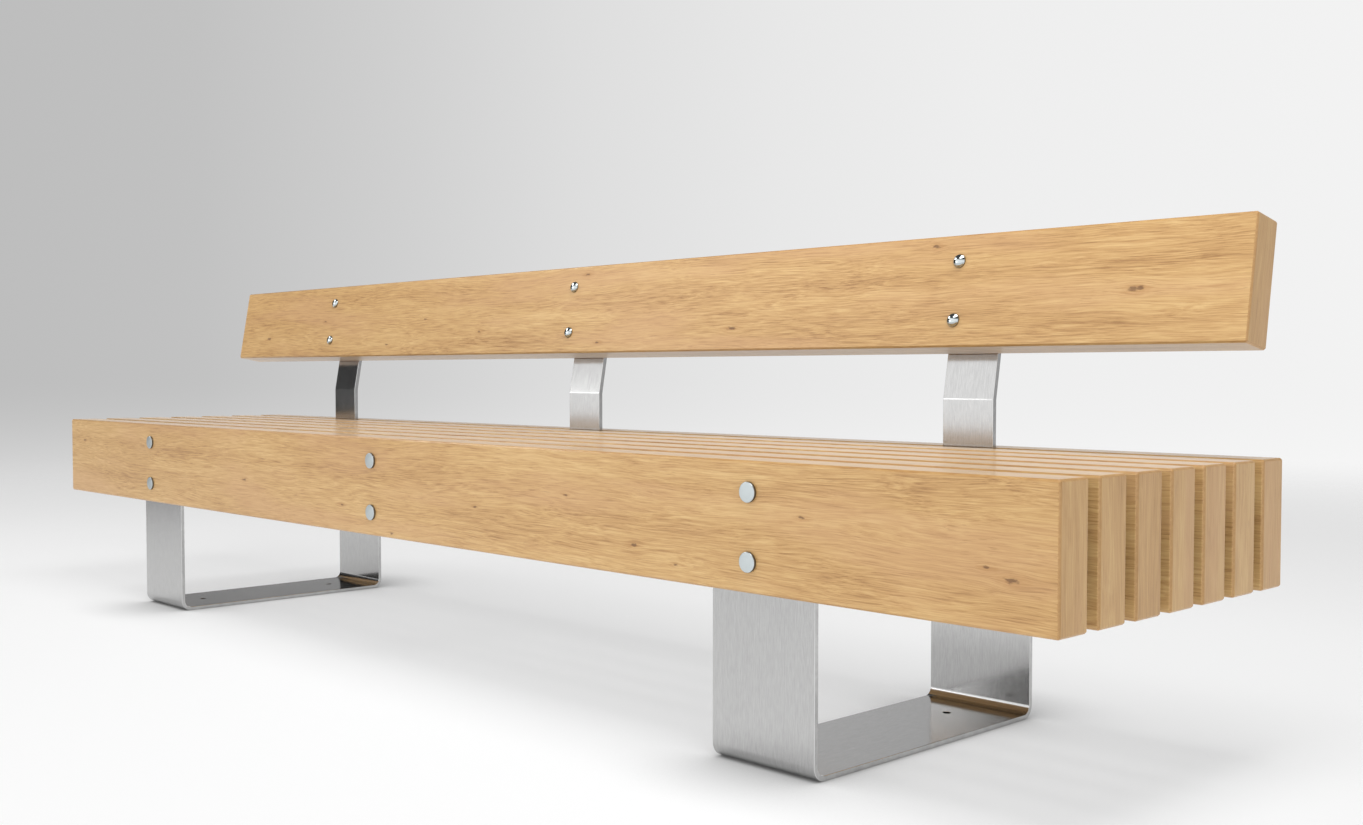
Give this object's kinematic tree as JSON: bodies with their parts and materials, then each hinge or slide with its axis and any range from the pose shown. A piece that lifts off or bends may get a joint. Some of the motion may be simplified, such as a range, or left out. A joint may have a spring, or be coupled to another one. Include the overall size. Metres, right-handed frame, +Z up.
{
  "type": "park bench with backrest",
  "caption": "Long public bench: upright timber boards bolted side by side on bent flat-bar steel legs, with a tilted timber back board on steel supports.",
  "frame": {"origin": "on the ground, below the middle of the bench's bounding box", "axes": "+X along the seat, +Y from the front of the seat to the backrest, +Z up"},
  "size_m": [3, 0.6406, 0.8038],
  "materials": {
    "timber": "light honey-coloured oak, oiled, planed faces with small chamfers",
    "brushed_steel": "brushed stainless flat bar, the brush lines running along the bar",
    "bright_steel": "bright stainless bolt heads and cap nuts",
    "black_nylon": "matt black nylon spacer blocks"
  },
  "bodies": {
    "root": {"seat_board_1": "timber", "seat_board_2": "timber", "seat_board_3": "timber", "seat_board_4": "timber", "seat_board_5": "timber", "seat_board_6": "timber", "seat_board_7": "timber", "leg_left": "brushed_steel", "leg_right": "brushed_steel", "back_support_left": "brushed_steel", "spacer_left_1": "black_nylon", "spacer_left_2": "black_nylon", "spacer_left_3": "black_nylon", "spacer_left_4": "black_nylon", "spacer_left_5": "black_nylon", "spacer_left_6": "black_nylon", "seat_bolt_left_upper": "bright_steel", "seat_nut_left_upper": "bright_steel", "seat_bolt_left_lower": "bright_steel", "seat_nut_left_lower": "bright_steel", "back_bolt_left_upper": "bright_steel", "back_nut_left_upper": "bright_steel", "back_bolt_left_lower": "bright_steel", "back_nut_left_lower": "bright_steel", "back_support_middle": "brushed_steel", "spacer_middle_1": "black_nylon", "spacer_middle_2": "black_nylon", "spacer_middle_3": "black_nylon", "spacer_middle_4": "black_nylon", "spacer_middle_5": "black_nylon", "spacer_middle_6": "black_nylon", "seat_bolt_middle_upper": "bright_steel", "seat_nut_middle_upper": "bright_steel", "seat_bolt_middle_lower": "bright_steel", "seat_nut_middle_lower": "bright_steel", "back_bolt_middle_upper": "bright_steel", "back_nut_middle_upper": "bright_steel", "back_bolt_middle_lower": "bright_steel", "back_nut_middle_lower": "bright_steel", "back_support_right": "brushed_steel", "spacer_right_1": "black_nylon", "spacer_right_2": "black_nylon", "spacer_right_3": "black_nylon", "spacer_right_4": "black_nylon", "spacer_right_5": "black_nylon", "spacer_right_6": "black_nylon", "seat_bolt_right_upper": "bright_steel", "seat_nut_right_upper": "bright_steel", "seat_bolt_right_lower": "bright_steel", "seat_nut_right_lower": "bright_steel", "back_bolt_right_upper": "bright_steel", "back_nut_right_upper": "bright_steel", "back_bolt_right_lower": "bright_steel", "back_nut_right_lower": "bright_steel", "back_board": "timber"}
  },
  "joints": []
}
